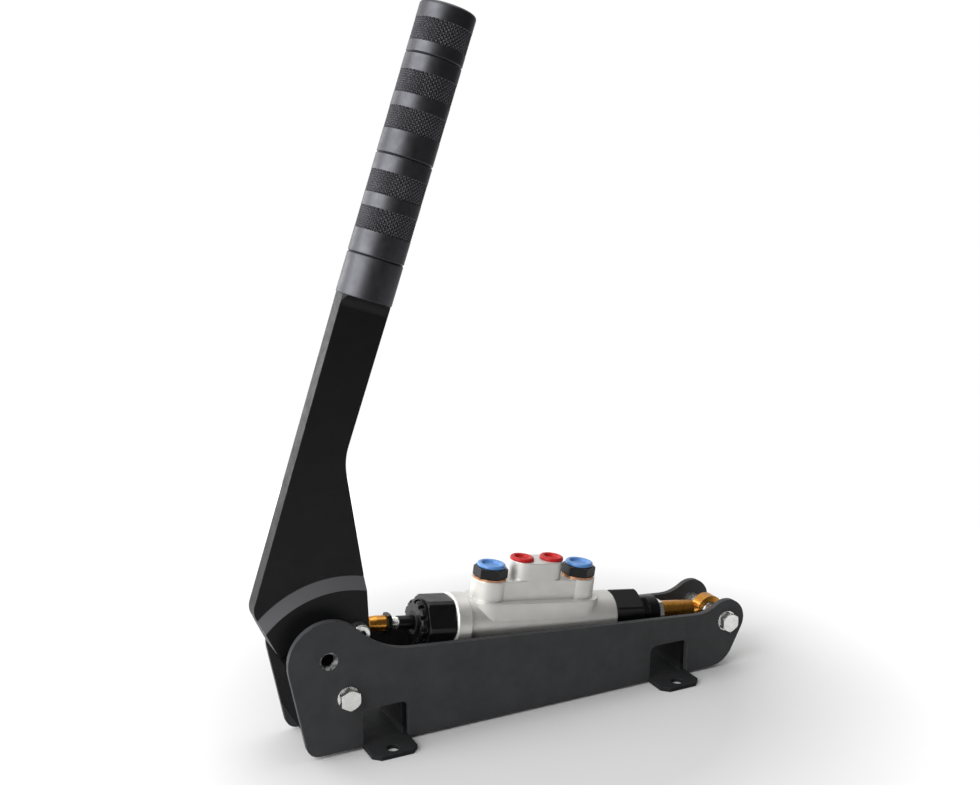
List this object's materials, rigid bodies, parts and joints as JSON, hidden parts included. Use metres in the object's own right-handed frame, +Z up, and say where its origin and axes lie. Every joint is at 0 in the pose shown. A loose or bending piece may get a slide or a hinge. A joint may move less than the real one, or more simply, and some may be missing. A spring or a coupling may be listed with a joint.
{
  "type": "hydraulic hand brake lever",
  "caption": "Tall pull lever with knurled grip on a bolt-down base; it pushes a floating tandem brake master cylinder between two side plates.",
  "frame": {"origin": "middle of the four floor bolt holes, on the floor plane under the feet", "axes": "+X to the rear of the base, +Y to the right-hand side, +Z up"},
  "size_m": [0.3676, 0.0888, 0.4752],
  "materials": {
    "base_paint": "satin black powder coat",
    "shaded_paint": "matt black powder coat",
    "lever_paint": "satin black anodised",
    "grip_finish": "satin black anodised, knurled bands",
    "zinc_steel": "bright zinc plate",
    "ball_steel": "polished",
    "bronze": "machined",
    "gold_plate": "yellow passivated",
    "black_fittings": "black anodised",
    "bright_alloy": "fine blasted and machined",
    "seal_rubber": "smooth",
    "spring_steel": "drawn wire",
    "copper": "plain copper",
    "blue_plastic": "moulded",
    "red_plastic": "moulded"
  },
  "bodies": {
    "base": {"left_side_plate": "base_paint", "right_side_plate": "base_paint", "front_cross_plate": "shaded_paint", "front_floor_bar": "base_paint", "rear_floor_bar": "base_paint", "pivot_bolt": "zinc_steel", "pivot_nut": "zinc_steel", "pivot_washers": "zinc_steel", "pivot_sleeve": "zinc_steel", "pivot_spacers": "zinc_steel", "rear_bolt": "zinc_steel", "rear_nut": "zinc_steel", "rear_washers": "zinc_steel", "rear_spacers": "zinc_steel", "rear_ball": "ball_steel"},
    "lever": {"lever": "lever_paint", "pivot_bushes": "bronze", "lower_grip_sleeve": "grip_finish", "upper_grip_sleeve": "grip_finish", "grip_end_cap": "grip_finish", "grip_stud": "zinc_steel", "link_bolt": "zinc_steel", "link_nut": "zinc_steel", "front_ball": "ball_steel"},
    "cylinder": {"cylinder_body": "bright_alloy", "gland_nut": "black_fittings", "lock_ring": "black_fittings", "rod_wiper": "seal_rubber", "secondary_spring": "spring_steel", "rear_cap": "black_fittings", "cap_seal": "seal_rubber", "rear_neck": "black_fittings", "rear_stud": "zinc_steel", "rear_jam_nut": "zinc_steel", "rear_rod_end": "gold_plate", "inlet_adaptors": "black_fittings", "inlet_seal_washers": "copper", "inlet_plugs": "blue_plastic", "outlet_plugs": "red_plastic"},
    "pushrod": {"front_rod_end": "gold_plate", "front_jam_nut": "black_fittings", "pushrod_stud": "zinc_steel", "pushrod": "black_fittings", "primary_piston": "bright_alloy", "primary_seals": "seal_rubber", "primary_spring": "spring_steel"},
    "secondary_piston": {"secondary_piston": "bright_alloy", "secondary_seals": "seal_rubber"}
  },
  "joints": [
    {"name": "lever_pull", "type": "hinge", "parent": "base", "child": "lever", "pos_m": [-0.1366, 0, 0.0394], "axis": [0, 1, 0], "range_deg": [0, 20], "stiffness_Nm_per_rad": 6, "springref_deg": -20.05},
    {"name": "cylinder_tilt", "type": "hinge", "parent": "base", "child": "cylinder", "pos_m": [0.161, 0, 0.0364], "axis": [0, 1, 0], "range_deg": [-1, 0]},
    {"name": "pushrod_stroke", "type": "slide", "parent": "cylinder", "child": "pushrod", "axis": [0.9898, 0, -0.1427], "range_m": [0, 0.0135], "deforming": ["primary_spring"]},
    {"name": "secondary_stroke", "type": "slide", "parent": "cylinder", "child": "secondary_piston", "axis": [0.9898, 0, -0.1427], "range_m": [0, 0.0068], "deforming": ["secondary_spring"]}
  ],
  "couplings": [
    {"joint": "cylinder_tilt", "follows": "lever_pull", "ratio": -0.04525},
    {"joint": "pushrod_stroke", "follows": "lever_pull", "m_per_rad": 0.03785},
    {"joint": "secondary_stroke", "follows": "lever_pull", "m_per_rad": 0.018925}
  ]
}
